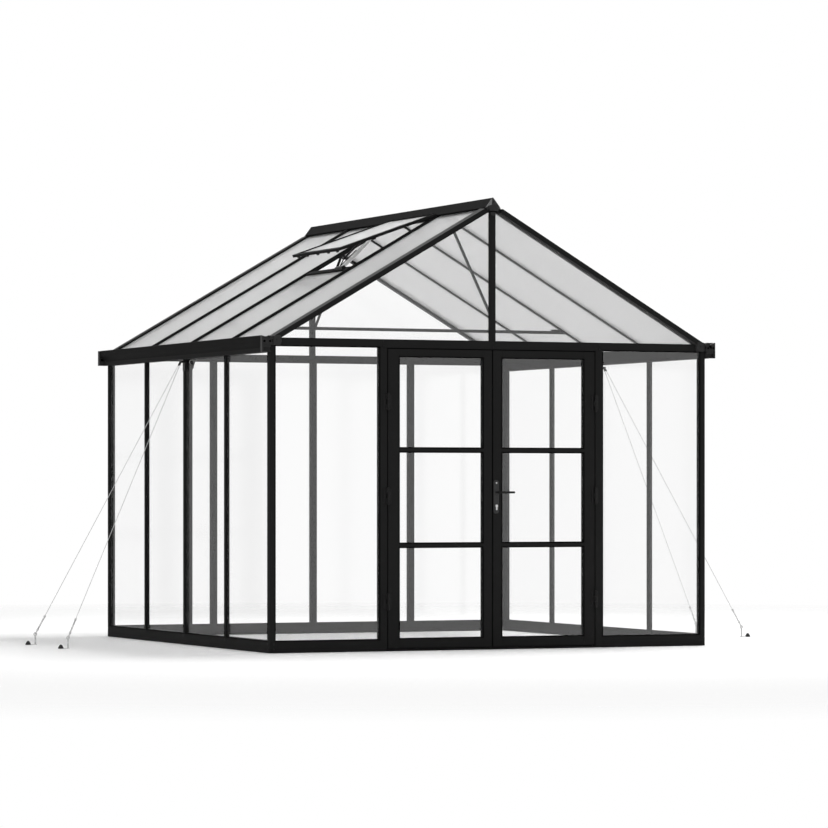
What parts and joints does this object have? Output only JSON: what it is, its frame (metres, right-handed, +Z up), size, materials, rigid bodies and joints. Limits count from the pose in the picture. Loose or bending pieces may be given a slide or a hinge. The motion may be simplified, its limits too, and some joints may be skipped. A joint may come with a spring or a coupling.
{
  "type": "polycarbonate greenhouse",
  "caption": "Square walk-in greenhouse with clear sheet walls in a dark bar frame, pitched roof with gutters, hinged double doors, propped roof vent and wire stays.",
  "frame": {"origin": "on the ground, in the middle of the square plan", "axes": "+X to the right of someone who faces the doors, +Y from the doors to the back wall, +Z up"},
  "size_m": [4.932, 3.0825, 2.828],
  "materials": {
    "black_frame": "satin black powder coat on aluminium bars",
    "clear_sheet": "clear polycarbonate sheet",
    "roof_sheet": "translucent grey-white twin-wall polycarbonate",
    "black_plastic": "moulded dark plastic",
    "black_fittings": "black coated hinges and handle",
    "opener_alloy": "light grey vent opener",
    "stay_steel": "galvanised steel stays and anchors"
  },
  "bodies": {
    "frame": {"front_base": "black_frame", "back_base": "black_frame", "side_bases": "black_frame", "door_threshold": "black_frame", "corner_posts": "black_frame", "left_wall_posts": "black_frame", "right_wall_posts": "black_frame", "knee_braces": "black_frame", "back_wall_posts": "black_frame", "door_jambs": "black_frame", "door_stops": "black_frame", "tie_beams": "black_frame", "eave_beams": "black_frame", "gutters": "black_frame", "gutter_end_caps": "black_plastic", "left_rafters": "black_frame", "right_rafters": "black_frame", "ridge_beam": "black_frame", "ridge_cap": "black_frame", "ridge_end_caps": "black_plastic", "king_posts": "black_frame", "ridge_braces": "black_frame", "collar_tie": "black_frame", "left_wall_panels": "clear_sheet", "right_wall_panels": "clear_sheet", "back_wall_panels": "clear_sheet", "front_wall_panels": "clear_sheet", "gable_panels": "clear_sheet", "left_roof_panels": "roof_sheet", "right_roof_panels": "roof_sheet", "vent_crossbar": "black_frame", "vent_sash_sides": "black_frame", "vent_sash_rails": "black_frame", "vent_pane": "roof_sheet", "vent_opener": "opener_alloy", "hinge_pins": "black_fittings", "stay_brackets": "stay_steel", "stay_cables": "stay_steel", "turnbuckles": "stay_steel", "ground_anchors": "stay_steel"},
    "left_door": {"left_door_stiles": "black_frame", "left_door_rails": "black_frame", "left_door_panes": "clear_sheet", "left_hinge_sleeves": "black_fittings"},
    "right_door": {"right_door_stiles": "black_frame", "right_door_rails": "black_frame", "right_door_panes": "clear_sheet", "right_hinge_sleeves": "black_fittings", "handle_plates": "black_fittings"},
    "handle": {"handle_lever": "black_fittings"}
  },
  "joints": [
    {"name": "left_door_hinge", "type": "hinge", "parent": "frame", "child": "left_door", "pos_m": [-0.715, -1.512, 0.96], "axis": [0, 0, -1], "range_deg": [0, 160]},
    {"name": "right_door_hinge", "type": "hinge", "parent": "frame", "child": "right_door", "pos_m": [0.715, -1.512, 0.96], "axis": [0, 0, 1], "range_deg": [0, 160]},
    {"name": "handle_turn", "type": "hinge", "parent": "right_door", "child": "handle", "pos_m": [0.024, -1.483, 0.982], "axis": [0, 1, 0], "range_deg": [0, 40], "stiffness_Nm_per_rad": 1, "springref_deg": -34.38}
  ]
}
